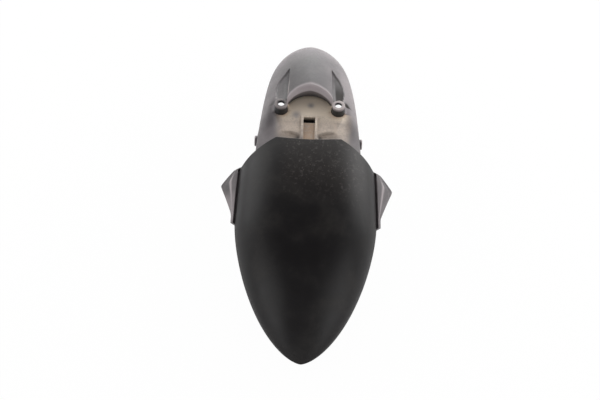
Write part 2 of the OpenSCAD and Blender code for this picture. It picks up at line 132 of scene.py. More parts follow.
class MudguardFinish(bpy.types.PropertyGroup):
    """Colours of the mouldings, with their pale scuffed patches, painted light and painted shade"""

    plastic: StringProperty(name="Carrier plastic", description="sRGB hex", default="#4E494B")
    # Pale plastic: colour of the random pale patches, and also of the painted light on the carrier.
    plastic_worn: StringProperty(name="Worn plastic", description="sRGB hex", default="#AFA5A7")
    paint: StringProperty(name="Panel paint", description="sRGB hex", default="#181617")
    dust: StringProperty(name="Dry road dust", description="sRGB hex", default="#BFB0A2")
    # Near-white dust, which also stands in as painted light on the recess floor's rear, in the arch's shade.
    thick_dust: StringProperty(name="Thick dust", description="sRGB hex, in the recess", default="#F6E6D2")
    # Also the colour of the painted shade in the valleys.
    brown_dust: StringProperty(name="Brown dust", description="sRGB hex", default="#B08A66")
    # Colour of the painted highlights along edges.
    rubbed: StringProperty(name="Rubbed plastic", description="sRGB hex, on edges", default="#B5AAA8")
    blot: StringProperty(name="Blots", description="sRGB hex, on the floor", default="#8A868C")
    # Colour of the painted shade inside the scoops.
    grime: StringProperty(name="Grime", description="sRGB hex, in the scoops", default="#1D1713")
    shade: StringProperty(name="Deep shade", description="sRGB hex, in gaps and bores", default="#0B0A0A")
    paint_mottle: StringProperty(name="Dried drops", description="sRGB hex, on paint", default="#6F6A68")
    paint_film: StringProperty(name="Road film", description="sRGB hex, on paint", default="#5A554E")
    paint_speck: StringProperty(name="Specks", description="sRGB hex, on paint", default="#8B8078")
    zinc: StringProperty(name="Zinc plate", description="sRGB hex", default="#B9B7AE")
    zinc_cloud: StringProperty(name="Cloudy zinc", description="sRGB hex", default="#7E7B72")
    grain: FloatProperty(name="Grain", description="Width of one grain cell", default=1.1, unit="CAMERA")


class MudguardStudio(bpy.types.PropertyGroup):
    """Lamps, floor and camera"""

    floor_tone: StringProperty(name="Floor", description="sRGB hex", default="#FFFFFF")
    floor_glow: FloatProperty(
        name="Floor glow", description="Share of plain white to the camera", default=0.97, subtype="FACTOR"
    )
    world_strength: FloatProperty(
        name="World", description="Light of the white room", default=0.7, subtype="FACTOR"
    )
    lens: FloatProperty(name="Lens", description="Focal length", default=78, unit="CAMERA")


def linear(code):
    """Turns an sRGB hex colour into linear values with an alpha of 1."""
    values = [int(code[i : i + 2], 16) / 255 for i in (1, 3, 5)]
    return tuple(v / 12.92 if v <= 0.04045 else ((v + 0.055) / 1.055) ** 2.4 for v in values) + (1.0,)


def mix(a, b, k):
    return a + (b - a) * k


def clamp01(k):
    return np.clip(k, 0.0, 1.0)


def smooth(k):
    c = clamp01(k)
    return c * c * (3 - 2 * c)


def rise(value, start, run):
    """From 0 at the start to 1 a run after it, with soft ends."""
    return smooth((value - start) / run)


def fall(value, end, run):
    """From 1 a run before the end to 0 at it, with soft ends."""
    return smooth((end - value) / run)


def bell(value, middle, width):
    """A soft line: 1 at the middle value, fading on both sides."""
    return np.exp(-(((value - middle) / width) ** 2))


def spot(x, y, middle, spread):
    """A soft spot round a point; the spreads are the squares of its widths across and along."""
    return np.exp(-((x - middle[0]) ** 2 / spread[0] + (y - middle[1]) ** 2 / spread[1]))


def soft_min(a, b, fillet):
    """Lower of two radii with a fillet between them."""
    return (a + b - np.sqrt((a - b) ** 2 + fillet**2)) / 2


def at(x, r, angle):
    """Points at a distance across, a radius from the axle and an angle round it, as x, y, z."""
    a = np.radians(angle)
    return np.stack(np.broadcast_arrays(x, -r * np.sin(a), r * np.cos(a)), axis=-1)


def closing_up(count, part):
    """Values from 0 to 1 whose steps shrink toward 1, along a part of a sine's quarter wave."""
    return np.sin(np.linspace(0, math.pi / 2, count) * part) / math.sin(math.pi / 2 * part)


def mirrored(right):
    """A grid over both halves, from one whose first column is the middle."""
    return np.concatenate([right[:, :0:-1] * np.array([-1, 1, 1]), right], axis=1)


class Form:
    """The mouldings' surfaces by formula, in millimetres from the wheel axis; y grows to the rear."""

    crest_front_p, crest_tail_p, side_q = 1.34, 1.75, 2.17
    crest_change_angle, crest_change_run, roof_side_fillet = -12, 35, 7
    panel_p, panel_q, panel_edge_cut = 2.6, 2.4, 1.04
    tip_plan_p, tip_sag_p, side_sag = 1.65, 1.3, 3
    corner_angle, free_angle = 6.0, 26.0
    rear_edge_y, rear_corner_y, rear_edge_slope, wide_corner_y = -9.8, -2.9, 0.545, -29.6
    scoop_share, scoop_wall, scoop_dip = 0.46, 0.014, 1.6
    arch_rise = 30.2
    shelf_slope, shelf_tilt, shelf_belly, shelf_run, boss_proud = 0.207, 0.35, 3.5, 92.0, 0.6
    lip_h, lip_lean, lip_undercut, groove_depth = 8.8, 5.5, 7.4, 5.0
    foot_lead, arch_foot_lead = 1.6, -5.2
    valley_y, valley_depth, valley_inner_x, valley_outer_x = 9.0, 3.6, 12.5, 46.0
    valley_sweep, valley_sweep_w, valley_ramp = 7.0, 18.0, 2.6
    front_start, carrier_front_angle, edge_inset = 1.2, 31.0, 1.7
    notch_wall_h, notch_angle, notch_ramp = 5.0, -4.8, 2.2
    ear_rear_angle, ear_tip_angle, ear_end_angle, ear_front_angle = 5.2, 10.4, 22.6, 25.4
    ear_end_w, ear_overrun, joggle_depth, ear_tuck = 4.0, 1.2, 4.6, 5.0
    pad_proud, pocket_depth, pocket_wall, rail_edge = 3.4, 9, 2, 0.6
    carrier_rim, panel_rim, sharp_angle = 0.9, 0.8, 40
    boss_plate, boss_hollow_depth, boss_edge = 5, 22, 0.9
    seat_d, seat_h, stud_gap, bore_d, bore_roof = 16, 2.5, 0.3, 4.4, 2.2

    def __init__(self, sizes):
        for name in MudguardSizes.__annotations__:
            setattr(self, name, getattr(sizes, name))
        self.boss_top_z = self.floor_z + self.boss_h
        self.shelf_y = self.boss_y + self.boss_d / 2
        self.step_y = self.boss_y - 4
        self.arch_half_w = self.boss_spacing / 2 - 8
        self.lap = self.wall + self.lap_gap
        self.seat_z = -(self.wall * 2 + self.lap_gap + self.seat_h)
        self.wall_low_r = self.dome_r - self.shoulder_depth - self.side_wall_h
        self.rest_z = (self.panel_tip_r - self.wall) * math.cos(math.radians(self.tip_angle))
        self.tail_corner = -math.degrees(math.acos(self.rest_z / self.wall_low_r))
        front_y = -self.panel_tip_r * math.sin(math.radians(self.tip_angle))
        tail_y = -self.dome_r * math.sin(math.radians(self.tail_angle))
        self.shift = Vector((0, -(front_y + tail_y) / 2, -self.rest_z))

    def place(self, x, y, z):
        """A point given from the wheel axis in mm, in the part's frame in metres."""
        return (Vector((x, y, z)) + self.shift) * MM

    def panel_r(self, angle):
        return mix(self.panel_rear_r, self.panel_tip_r, (angle - 2) / (self.tip_angle - 2))

    def panel_stretches(self, angle):
        """Shares of the way along the ears and along the free tip."""
        side = clamp01((angle - self.corner_angle) / (self.free_angle - self.corner_angle))
        return side, clamp01((angle - self.free_angle) / (self.tip_angle - self.free_angle))

    def panel_w(self, angle):
        side, free = self.panel_stretches(angle)
        return (self.panel_half_w + self.panel_spread * side) * np.sqrt(1 - free**self.tip_plan_p)

    def panel_sag(self, x, angle):
        side, free = self.panel_stretches(angle)
        depth = (self.panel_depth + self.side_sag * side) * np.sqrt(1 - free**self.tip_sag_p)
        share = np.abs(x) / self.panel_w(angle) / self.panel_edge_cut
        return depth * self.bulge(share) / self.bulge(1 / self.panel_edge_cut)

    def bulge(self, u):
        rest = np.maximum(0, 1 - np.minimum(1, u) ** self.panel_p)
        return 1 - rest ** (1 / self.panel_q)

    def panel_slope(self, x, angle):
        b = np.minimum(x, self.panel_w(angle) - 0.06)
        return np.arctan((self.panel_sag(b + 0.05, angle) - self.panel_sag(b - 0.05, angle)) / 0.1)

    def under_panel(self, x, angle, depth):
        """Point under the panel's surface, square to its section: distance across and radius."""
        lean = self.panel_slope(x, angle)
        return x - depth * np.sin(lean), self.panel_r(angle) - self.panel_sag(x, angle) - depth * np.cos(lean)

    def rear_edge(self, x):
        """Plan line of the panel's rear edge: a shallow dip, then straight edges outside its corners."""
        middle = mix(self.rear_edge_y, self.rear_corner_y, (x / self.rear_corner_x) ** 2)
        outside = self.rear_corner_y - self.rear_edge_slope * (x - self.rear_corner_x)
        return np.where(x < self.rear_corner_x, middle, np.maximum(outside, self.wide_corner_y))

    def panel_rear_angle(self, x):
        radius = self.panel_r(self.corner_angle) - self.panel_sag(x, self.corner_angle)
        return np.degrees(np.arcsin(-self.rear_edge(x) / radius))

    def dome_w(self, angle):
        return self.dome_half_w + self.dome_taper * angle

    def dome_radius(self, x, angle, off):
        half = self.dome_w(angle) - off
        toward_tail = fall(angle, self.crest_change_angle, self.crest_change_run)
        crest_p = mix(self.crest_front_p, self.crest_tail_p, toward_tail)
        rest = np.maximum(0, 1 - np.minimum(1, np.abs(x) / half) ** crest_p)
        return self.dome_r - off - (self.shoulder_depth - off) * (1 - rest ** (1 / self.side_q))

    def shelf_z(self, x, angle, off):
        tilt = self.shelf_tilt * np.maximum(0, x - self.boss_spacing / 2 + 4)
        top = self.boss_top_z - self.boss_proud - off - tilt
        behind = np.tan(np.radians(-angle))
        along = clamp01((self.boss_top_z * behind - self.shelf_y) / self.shelf_run)
        falling = (top + self.shelf_slope * self.shelf_y) / (1 + self.shelf_slope * behind)
        return np.minimum(top, falling) - self.shelf_belly * np.sin(math.pi * along)

    def scoop_cut(self, share, x, angle, off):
        """How far the scoops lie below the dome, with a small step down at their outer edge."""
        shelf = self.shelf_z(x, angle, off) / np.cos(np.radians(angle))
        cut = np.maximum(0, self.dome_radius(x, angle, off) - shelf)
        inside = smooth((share - self.scoop_share) / self.scoop_wall + 0.5)
        return inside * (cut + self.scoop_dip * smooth(cut / 1.5))

    def rear_radius(self, share, x, angle, off):
        """The scooped dome; outside the bosses it runs into the recess floor without a step."""
        radius = self.dome_radius(x, angle, off) - self.scoop_cut(share, x, angle, off)
        near = smooth((self.step_y + radius * np.sin(np.radians(angle))) / 30 + 1)
        level = np.minimum(radius, self.floor_radius(x, angle, off))
        return mix(radius, level, smooth((x - 50) / 8) * near)

    def inner_x(self, share, half, off):
        return share * half - off * np.minimum(1, share / self.scoop_share)

    def step_line(self, x):
        return self.step_y + self.arch_rise * np.sqrt(np.maximum(0, 1 - (x / self.arch_half_w) ** 2))

    def step_top(self, x):
        """Height of the step's upper edge at a distance from the middle."""
        share = np.linspace(0, 1, 60)
        angle = self.step_angle(share, 0)
        across = share * self.dome_w(angle)
        height = self.rear_radius(share, across, angle, 0) * np.cos(np.radians(angle))
        return np.interp(np.abs(x), across, height)

    def step_angle(self, share, off):
        x = self.inner_x(share, self.dome_w(-10), off)
        y = self.step_line(x) + off
        near = -np.degrees(np.arcsin(y / self.boss_top_z))
        return -np.degrees(np.arcsin(y / self.rear_radius(share, x, near, off)))

    def dome_point(self, v, share, off):
        tail = mix(self.tail_angle, self.tail_corner, share**2)
        angle = mix(tail, self.step_angle(share, off), v)
        x = self.inner_x(share, self.dome_w(angle), off)
        return at(x, self.rear_radius(share, x, angle, off), angle)

    def floor_radius(self, x, angle, off):
        flat = (self.floor_z - off) / np.cos(np.radians(angle))
        return soft_min(flat, self.dome_radius(x, angle, off), self.roof_side_fillet)

    def arch_share(self, x):
        return smooth((self.arch_half_w + 4 - np.abs(x)) / 8)

    def foot_y(self, x, off):
        """Rear edge of the floor: in front of the groove under the arch's lip."""
        arch = self.arch_share(x)
        return self.step_line(x) - mix(self.foot_lead, self.arch_foot_lead, arch) + off * (1 - 2 * arch)

    def groove_point(self, share, off, lead, arch_y):
        x = self.inner_x(share, self.dome_w(-8), off)
        arch = self.arch_share(x)
        y = self.step_line(x) + mix(off - lead, arch_y, arch)
        angle = -np.degrees(np.arctan(y / (self.floor_z - off)))
        point = at(x, self.floor_radius(x, angle, off), angle)
        point[..., 2] -= self.groove_depth * arch
        return point

    def valley(self, x, y):
        """Depth of the two hollows beside the channel, where the floor dips under the panel's edge."""
        from_channel = np.abs(x) - self.valley_inner_x
        edge = self.valley_y - self.valley_sweep * (1 - clamp01(from_channel / self.valley_sweep_w)) ** 2
        across = smooth(from_channel / 3) * smooth((self.valley_outer_x - np.abs(x)) / 24)
        return self.valley_depth * smooth((edge - y) / self.valley_ramp) * across

    def covered_radius(self, x, angle, off):
        """The floor and the dome's side, kept below the panel from a few degrees behind its edge."""
        own = self.floor_radius(x, angle, off)
        lean = self.panel_slope(x, angle)
        cover = self.panel_r(angle) - self.panel_sag(x, angle) - (self.lap + off) / np.cos(lean)
        start = mix(2.0, 9.0, smooth((x - 38) / 20))
        return mix(own, np.minimum(own, cover), smooth((angle + start) / (start + 0.3)))

    def floor_point(self, k, share, off):
        """The recess floor from the step's foot (0) to the panel's edge (1)."""
        x0 = self.inner_x(share, self.dome_w(-4), off)
        last_y = -self.floor_z * math.tan(math.radians(self.front_start))
        y = mix(self.foot_y(x0, off), last_y, k)
        angle = -np.degrees(np.arctan(y / (self.floor_z - off)))
        x = self.inner_x(share, self.dome_w(angle), off)
        return at(x, self.covered_radius(x, angle, off) - self.valley(x, y), angle)

    def front_point(self, k, share, off):
        angle = mix(self.front_start, self.carrier_front_angle, k**1.35)
        x = self.inner_x(share, self.dome_w(angle), off)
        dip = self.valley(x, -self.panel_rear_r * np.sin(np.radians(angle))) * (1 - smooth((angle - 3) / 3))
        reach = self.panel_w(angle) - self.edge_inset
        lap_x, lap_r = self.under_panel(share * reach, angle, self.lap + off)
        blend = smooth((angle - 3) / 3.6)
        return at(mix(x, lap_x, blend), mix(self.covered_radius(x, angle, off) - dip, lap_r, blend), angle)

    def screw_places(self):
        """The frame of each panel screw: on the panel's face, with Z along its normal."""
        places = []
        angles = (self.screw_rear_angle, self.screw_front_angle)
        for side, angle in [(side, angle) for side in (-1, 1) for angle in angles]:
            lean = float(self.panel_slope(self.screw_x, angle))
            radius = float(self.panel_r(angle) - self.panel_sag(self.screw_x, angle))
            turn = math.radians(angle)
            centre = self.place(side * self.screw_x, -radius * math.sin(turn), radius * math.cos(turn))
            tilt = Matrix.Rotation(turn, 4, "X") @ Matrix.Rotation(side * lean, 4, "Y")
            places.append(Matrix.Translation(centre) @ tilt)
        return places


class Carrier(Form):
    """The rear moulding as two grids of points, one for each face of its wall."""

    dome_rows, step_rows, floor_rows, front_rows = 130, 30, 58, 51

    def columns(self):
        """Shares across the roof, close together where the scoops' inner walls stand."""
        half = self.scoop_wall / 2 + 0.012
        middle = np.linspace(0, self.scoop_share - half, 32, endpoint=False)
        wall = np.linspace(self.scoop_share - half, self.scoop_share + half, 14, endpoint=False)
        scoop = np.linspace(self.scoop_share + half, 0.66, 22, endpoint=False)
        return np.concatenate([middle, wall, scoop, 0.66 + 0.34 * closing_up(25, 0.93)])

    def step_path(self, share, off):
        """Rounded profile of the step: dome edge, leaning lip, the groove under it and the floor's edge."""
        last = self.dome_point(np.full_like(share, 0.985), share, off)
        top = self.dome_point(np.ones_like(share), share, off)
        foot = self.groove_point(share, off, self.foot_lead, 0)
        arch = self.arch_share(top[..., 0])
        drop = mix(np.minimum(self.lip_h, 0.72 * (top[..., 2] - foot[..., 2])), self.lip_h, arch)
        lip_y = self.step_line(top[..., 0]) - mix(0.7, self.lip_lean, arch) + off * (1 + 0.6 * arch)
        lip = np.stack([(top[..., 0] + foot[..., 0]) / 2, lip_y, top[..., 2] - drop], axis=-1)
        back = self.groove_point(share, off, 1.0, self.lip_undercut + 1.5 * off)
        front = self.groove_point(share, off, 1.3, -self.arch_foot_lead - off)
        edge = self.floor_point(np.zeros_like(share), share, off)
        ahead = self.floor_point(np.full_like(share, 0.06), share, off)
        return self.rounded([last, top, lip, back, front, edge, ahead], [6.5, 1.0, 1.0, 0.8, 0.8])

    def rounded(self, corners, radii):
        """Samples a path whose corners are short parabolas, with the same count in every column."""
        rows = []
        steps = self.step_rows // len(radii)
        for before, corner, after, radius in zip(corners, corners[1:], corners[2:], radii):
            back = before - corner
            ahead = after - corner
            reach_back = np.linalg.norm(back, axis=-1, keepdims=True) + 1e-6
            reach_ahead = np.linalg.norm(ahead, axis=-1, keepdims=True) + 1e-6
            start = corner + back / reach_back * np.minimum(radius, reach_back * 0.45)
            end = corner + ahead / reach_ahead * np.minimum(radius, reach_ahead * 0.45)
            for u in np.linspace(0, 1, steps):
                rows.append((1 - u) ** 2 * start + 2 * u * (1 - u) * corner + u**2 * end)
        return rows

    def roof(self, off):
        share = self.columns()
        rows = []
        for k in np.linspace(0, 1, self.dome_rows, endpoint=False):
            rows.append(self.dome_point(0.975 * (1 - (1 - k) ** 1.4), share, off))
        rows += self.step_path(share, off)
        for k in np.linspace(0.08, 1, self.floor_rows, endpoint=False):
            rows.append(self.floor_point(k, share, off))
        for k in np.linspace(0, 1, self.front_rows):
            rows.append(self.front_point(k, share, off))
        return np.array(rows)

    def wall_drop(self, angle):
        return mix(self.side_wall_h, self.notch_wall_h, smooth((angle - self.notch_angle) / self.notch_ramp))

    def ear_reach(self, angle):
        full = self.ear_half_w - self.panel_half_w - self.groove_w
        before = np.maximum(0, angle - self.ear_rear_angle) / (self.ear_tip_angle - self.ear_rear_angle)
        after = (angle - self.ear_tip_angle) / (self.ear_end_angle - self.ear_tip_angle)
        falling = mix(full + self.ear_overrun, self.ear_end_w, np.minimum(1, after))
        outline = soft_min((full + self.ear_overrun) * before**0.75, falling, 2 * self.ear_overrun)
        return np.maximum(0, outline)

    def side(self, top, off):
        """Columns below the roof's edge: a plain flared wall, turning into an ear beside the panel."""
        angle = np.degrees(np.arctan2(-top[:, 1], top[:, 2]))
        radius = np.hypot(top[:, 1], top[:, 2])
        drop = self.wall_drop(angle)
        flare = self.side_flare * (drop - self.notch_wall_h) / (self.side_wall_h - self.notch_wall_h)
        rear = smooth((angle - self.ear_rear_angle) / 0.8)
        on = rear * (1 - smooth((angle - self.ear_front_angle) / 1.6))
        tuck = np.where(angle > self.ear_tip_angle, 4 * self.ear_tuck * on * (1 - on), 0)
        columns = []
        for t in np.linspace(0, 1, 35)[1:]:
            ear_x, ear_r = self.ear(t, angle, off, top[:, 0], radius)
            x = mix(top[:, 0] + flare * t, ear_x, on)
            r = mix(radius - drop * t, ear_r, on) - tuck * min(1, 7 * t)
            columns.append(at(x, r, angle))
        return np.stack(columns, axis=1)

    def ear(self, t, angle, off, top_x, top_r):
        """Section across an ear, with its corners softened by averaging along the section."""
        reach = self.ear_reach(angle)
        edge_x = self.panel_w(angle)
        edge_r = self.panel_r(angle) - self.panel_sag(edge_x, angle)
        floor_r = edge_r - self.joggle_depth
        flush_r = edge_r - 0.8
        stations = [0, 0.1, 0.26, 0.36, 0.58, 0.7, 0.86, 1]
        across = [top_x, edge_x - 2.5, edge_x + 1.6, edge_x + self.groove_w]
        across += [edge_x + self.groove_w + reach * s for s in (0.4, 0.55, 0.8, 1)]
        radii = [top_r, floor_r, floor_r, flush_r]
        radii += [flush_r - reach * s for s in (0.2, 0.42, 0.76, 0.88)]
        if off:
            low_r = floor_r - 0.8 * off
            across[1] = across[1] - 0.7 * off
            across[2] = across[2] + off / 3
            across[3] = across[3] + 0.15 * reach
            radii[1], radii[2], radii[3] = floor_r - off, floor_r - off, low_r
            for k in range(4, 8):
                across[k] = across[k] - off * np.minimum(0.5, reach / 30)
                radii[k] = np.minimum(radii[k] - 0.87 * off, low_r)
        spread = 0.022 if 0.05 < t < 0.97 else 0
        x = sum(self.along(stations, across, t + d * spread) for d in (-1, -0.5, 0, 0.5, 1)) / 5
        r = sum(self.along(stations, radii, t + d * spread) for d in (-1, -0.5, 0, 0.5, 1)) / 5
        return x, r

    def along(self, stations, values, t):
        k = min(len(stations) - 2, max(0, int(np.searchsorted(stations, t, side="right")) - 1))
        share = (t - stations[k]) / (stations[k + 1] - stations[k])
        return values[k] + (values[k + 1] - values[k]) * share

    def face(self, off):
        """One face of the wall, from the left edge through the crown to the right edge."""
        roof = self.roof(off)
        return mirrored(np.concatenate([roof, self.side(roof[:, -1], off)], axis=1))


class Panel(Form):
    """The painted moulding as two grids of points."""

    rows_rear, rows_tip = 60, 101
    blend_angle = 22.0

    def face(self, off):
        corner = self.rear_corner_x / self.panel_half_w
        inner = np.linspace(0, corner, 26, endpoint=False)
        share = np.concatenate([inner, corner + (1 - corner) * closing_up(44, 0.89)])
        start = self.panel_rear_angle(share * self.panel_half_w)
        rows = [mix(start, self.blend_angle, k) for k in np.linspace(0, 1, self.rows_rear, endpoint=False)]
        tip = np.sin(np.linspace(0, math.pi / 2, self.rows_tip))
        rows += [np.full_like(share, mix(self.blend_angle, self.tip_angle - 0.012, k)) for k in tip]
        points = [at(*self.under_panel(share * self.panel_w(angle), angle, off), angle) for angle in rows]
        return mirrored(np.array(points))


def new_object(name, mesh):
    piece = bpy.data.objects.new(name, mesh)
    bpy.context.scene.collection.objects.link(piece)
    return piece


def border(rows, columns, first):
    """Indices round the edge of a grid whose first point has the given index."""
    index = np.arange(rows * columns).reshape(rows, columns) + first
    return np.concatenate([index[0, :-1], index[:-1, -1], index[-1, :0:-1], index[:0:-1, 0]])


def grid_faces(rows, columns, first, outward):
    index = np.arange(rows * columns).reshape(rows, columns) + first
    a, b, c, d = index[:-1, :-1], index[:-1, 1:], index[1:, 1:], index[1:, :-1]
    corners = [a, d, c, b] if outward else [a, b, c, d]
    return np.stack(corners, axis=-1).reshape(-1, 4).tolist()


def skin(name, form, outer, inner, rim):
    """A closed wall between a grid and one of half its rows and columns, with a rounded rim all round."""
    inner = inner[::2, ::2]
    first = outer.shape[0] * outer.shape[1]
    points = (np.concatenate([outer.reshape(-1, 3), inner.reshape(-1, 3)]) + np.array(form.shift)) * MM
    faces = grid_faces(*outer.shape[:2], 0, True) + grid_faces(*inner.shape[:2], first, False)
    high = border(*outer.shape[:2], 0)
    low = border(*inner.shape[:2], first)
    high_next, high_last, low_last = np.roll(high, -1)[::2], np.roll(high, -2)[::2], np.roll(low, -1)
    faces += np.stack([high[::2], high_next, high_last, low_last, low], axis=-1).tolist()
    mesh = bpy.data.meshes.new(name)
    mesh.from_pydata(points.tolist(), [], faces)
    piece = new_object(name, mesh)
    edges = {tuple(sorted(pair)) for pair in zip(high.tolist(), np.roll(high, -1).tolist())}
    edges |= {tuple(sorted(pair)) for pair in zip(low.tolist(), low_last.tolist())}
    weights = mesh.attributes.new("bevel_weight_edge", "FLOAT", "EDGE")
    for edge in mesh.edges:
        if tuple(sorted(edge.vertices)) in edges:
            weights.data[edge.index].value = 1
    bevel = piece.modifiers.new("rim", "BEVEL")
    bevel.limit_method = "WEIGHT"
    bevel.width = rim * MM
    bevel.segments = 3
    return piece


def revolved(name, profile, segments=64):
    """A closed solid turned round its local Z from radius and height pairs, in metres."""
    build = bmesh.new()
    rings = []
    for radius, height in profile:
        turn = [2 * math.pi * k / segments for k in range(segments)]
        rings.append([build.verts.new((radius * math.cos(a), radius * math.sin(a), height)) for a in turn])
    for low, high in zip(rings, rings[1:]):
        for k in range(segments):
            j = (k + 1) % segments
            build.faces.new((low[k], low[j], high[j], high[k]))
    build.faces.new(rings[0][::-1])
    build.faces.new(rings[-1])
    bmesh.ops.recalc_face_normals(build, faces=build.faces[:])
    mesh = bpy.data.meshes.new(name)
    build.to_mesh(mesh)
    build.free()
    return new_object(name, mesh)


def turned_disc(name, radius, base, face, edge, place):
    """A disc with one rounded edge, from its radius, its two heights, the edge radius and its matrix."""
    way = 1 if face > base else -1
    shank = face - way * edge
    profile = [(radius, base + (shank - base) * k / 8) for k in range(8)]
    for k in range(5):
        a = math.pi / 2 * k / 4
        profile.append((radius - edge + edge * math.cos(a), face - way * edge * (1 - math.sin(a))))
    piece = revolved(name, [(r * MM, z * MM) for r, z in profile])
    piece.matrix_world = place
    return piece


def block(name, form, low, high, edge):
    """A box between two corners given from the wheel axis in mm, with rounded edges."""
    build = bmesh.new()
    size = [(b - a) * MM for a, b in zip(low, high)]
    middle = form.place(*[(a + b) / 2 for a, b in zip(low, high)])
    bmesh.ops.create_cube(build, size=1, matrix=Matrix.Translation(middle) @ Matrix.Diagonal((*size, 1)))
    if edge:
        bmesh.ops.bevel(build, geom=build.edges[:], offset=edge * MM, segments=3, profile=0.5, affect="EDGES")
    mesh = bpy.data.meshes.new(name)
    build.to_mesh(mesh)
    build.free()
    return new_object(name, mesh)


def combine(piece, others, operation):
    """Joins the other solids to a piece, or cuts them from it, and deletes them."""
    for other in others:
        step = piece.modifiers.new(operation.lower(), "BOOLEAN")
        step.operation = operation
        step.solver = "MANIFOLD"
        step.object = other
    bake(piece)
    for other in others:
        mesh = other.data
        bpy.data.objects.remove(other)
        bpy.data.meshes.remove(mesh)


def bake(piece):
    """Replaces a piece's mesh by the result of its modifiers."""
    view_layer = bpy.context.view_layer
    view_layer.update()
    result = bpy.data.meshes.new_from_object(piece.evaluated_get(bpy.context.evaluated_depsgraph_get()))
    piece.modifiers.clear()
    old = piece.data
    piece.data = result
    bpy.data.meshes.remove(old)
    result.name = piece.name


def finish_mesh(piece, sharp_angle, material):
    """Smooth shading with sharp corners kept, and one material all over."""
    mesh = piece.data
    mesh.materials.clear()
    mesh.materials.append(material)
    mesh.polygons.foreach_set("material_index", [0] * len(mesh.polygons))
    mesh.polygons.foreach_set("use_smooth", [True] * len(mesh.polygons))
    mesh.set_sharp_from_angle(angle=math.radians(sharp_angle))


def add(tree, kind, settings=None, sockets=None, output=0):
    """Adds a node, sets its properties, sets or links its sockets by name or number, and gives an output."""
    made = tree.nodes.new(kind)
    for name, value in (settings or {}).items():
        setattr(made, name, value)
    for name, value in (sockets or {}).items():
        if isinstance(value, bpy.types.NodeSocket):
            tree.links.new(value, made.inputs[name])
        else:
            made.inputs[name].default_value = value
    return made.outputs[output]


def new_material(name):
    """An empty node material, its tree and its output node."""
    material = bpy.data.materials.new(name)
    material.use_nodes = True
    tree = material.node_tree
    tree.nodes.clear()
    return material, tree, tree.nodes.new("ShaderNodeOutputMaterial")


def coordinates(tree):
    """Object coordinates in metres, which are the part's own frame."""
    return add(tree, "ShaderNodeTexCoord", output="Object")


def per_mm(size_mm):
    """Texture scale at which one cell is that many millimetres wide."""
    return 1 / (size_mm * MM)


def ramp(tree, value, low, high, start=0.0, end=1.0):
    """Spreads a value between two limits over a new range, with soft ends."""
    settings = {"interpolation_type": "SMOOTHSTEP"}
    sockets = {"Value": value, "From Min": low, "From Max": high, "To Min": start, "To Max": end}
    return add(tree, "ShaderNodeMapRange", settings, sockets)


def tint(tree, share, base, over):
    """Mixes two colours, given as hex codes or sockets, by a share."""
    first, second = [linear(colour) if isinstance(colour, str) else colour for colour in (base, over)]
    sockets = {MIX_FACTOR: share, MIX_COLOUR_A: first, MIX_COLOUR_B: second}
    return add(tree, "ShaderNodeMix", {"data_type": "RGBA"}, sockets, MIX_COLOUR)


def noise(tree, where, size_mm, detail=4.0, rough=0.5, distortion=0.0):
    sockets = {"Vector": where, "Scale": per_mm(size_mm), "Detail": detail}
    sockets.update({"Roughness": rough, "Distortion": distortion})
    return add(tree, "ShaderNodeTexNoise", None, sockets)


def times(tree, a, b):
    return add(tree, "ShaderNodeMath", {"operation": "MULTIPLY", "use_clamp": True}, {0: a, 1: b})


def higher(tree, a, b):
    return add(tree, "ShaderNodeMath", {"operation": "MAXIMUM"}, {0: a, 1: b})


def mask(tree, name):
    """A surface mask that the piece's mesh carries at its points."""
    return add(tree, "ShaderNodeAttribute", {"attribute_name": name}, output="Fac")


def grained_polypropylene(finish):
    """Injection-moulded polypropylene with a spark-eroded grain: dull, chalky and never a sharp highlight."""
    material, tree, output = new_material("grained_polypropylene")
    where = coordinates(tree)
    patches = ramp(tree, noise(tree, where, 38, 6, 0.6), 0.3, 0.75, 0.04, 0.2)
    colour = tint(tree, patches, finish.plastic, finish.plastic_worn)
    # Painted light: paler where the lip, tail, right flank, ears, pads and right boss plate catch the light.
    colour = tint(tree, mask(tree, "haze"), colour, finish.plastic_worn)
    fine = noise(tree, where, 3.0, 6, 0.65)
    dust_spread = ramp(tree, noise(tree, where, 14, 6, 0.6), 0.25, 0.6)
    dust = times(tree, mask(tree, "dust"), ramp(tree, fine, 0.2, 0.6, 0.6, 1.0))
    # Painted light: the recess floor's rear, shaded by the arch, is made near white as a deep dust layer.
    layer = tint(tree, mask(tree, "thick"), finish.dust, finish.thick_dust)
    dust = times(tree, dust, ramp(tree, dust_spread, 0, 1, 0.72, 1.0))
    dust = higher(tree, dust, times(tree, mask(tree, "thick"), 0.95))
    colour = tint(tree, dust, colour, layer)
    stains = ramp(tree, noise(tree, where, 9, 5, 0.6), 0.3, 0.6, 0.3, 1.0)
    # Dust in patches, and painted shade in the valleys, in the same colour.
    colour = tint(tree, times(tree, mask(tree, "brown"), stains), colour, finish.brown_dust)
    # Over the colour, in turn: painted edge highlights, grey blots, painted shade in the scoops and deep
    # painted shade.
    for name in ("rubbed", "blot", "grime", "shade"):
        colour = tint(tree, mask(tree, name), colour, getattr(finish, name))
    cells = {"Vector": where, "Scale": per_mm(finish.grain), "Randomness": 1.0}
    grain = add(tree, "ShaderNodeTexVoronoi", {"feature": "SMOOTH_F1"}, cells)
    bumps = {"Strength": 0.35, "Distance": 0.25 * MM, "Height": grain}
    bump = add(tree, "ShaderNodeBump", None, bumps)
    waves = {"Strength": 0.2, "Distance": 0.5 * MM, "Height": noise(tree, where, 18, 2), "Normal": bump}
    bump = add(tree, "ShaderNodeBump", None, waves)
    # Rougher where the scoops' painted shade lies.
    rough = higher(tree, ramp(tree, fine, 0.3, 0.7, 0.46, 0.6), times(tree, mask(tree, "grime"), 0.95))
    sockets = {"Base Color": colour, "Roughness": rough, "Normal": bump, "IOR": 1.49}
    sockets.update({"Sheen Weight": 0.1, "Sheen Roughness": 0.5})
    shader = add(tree, "ShaderNodeBsdfPrincipled", None, sockets)
    tree.links.new(shader, output.inputs["Surface"])
    return material


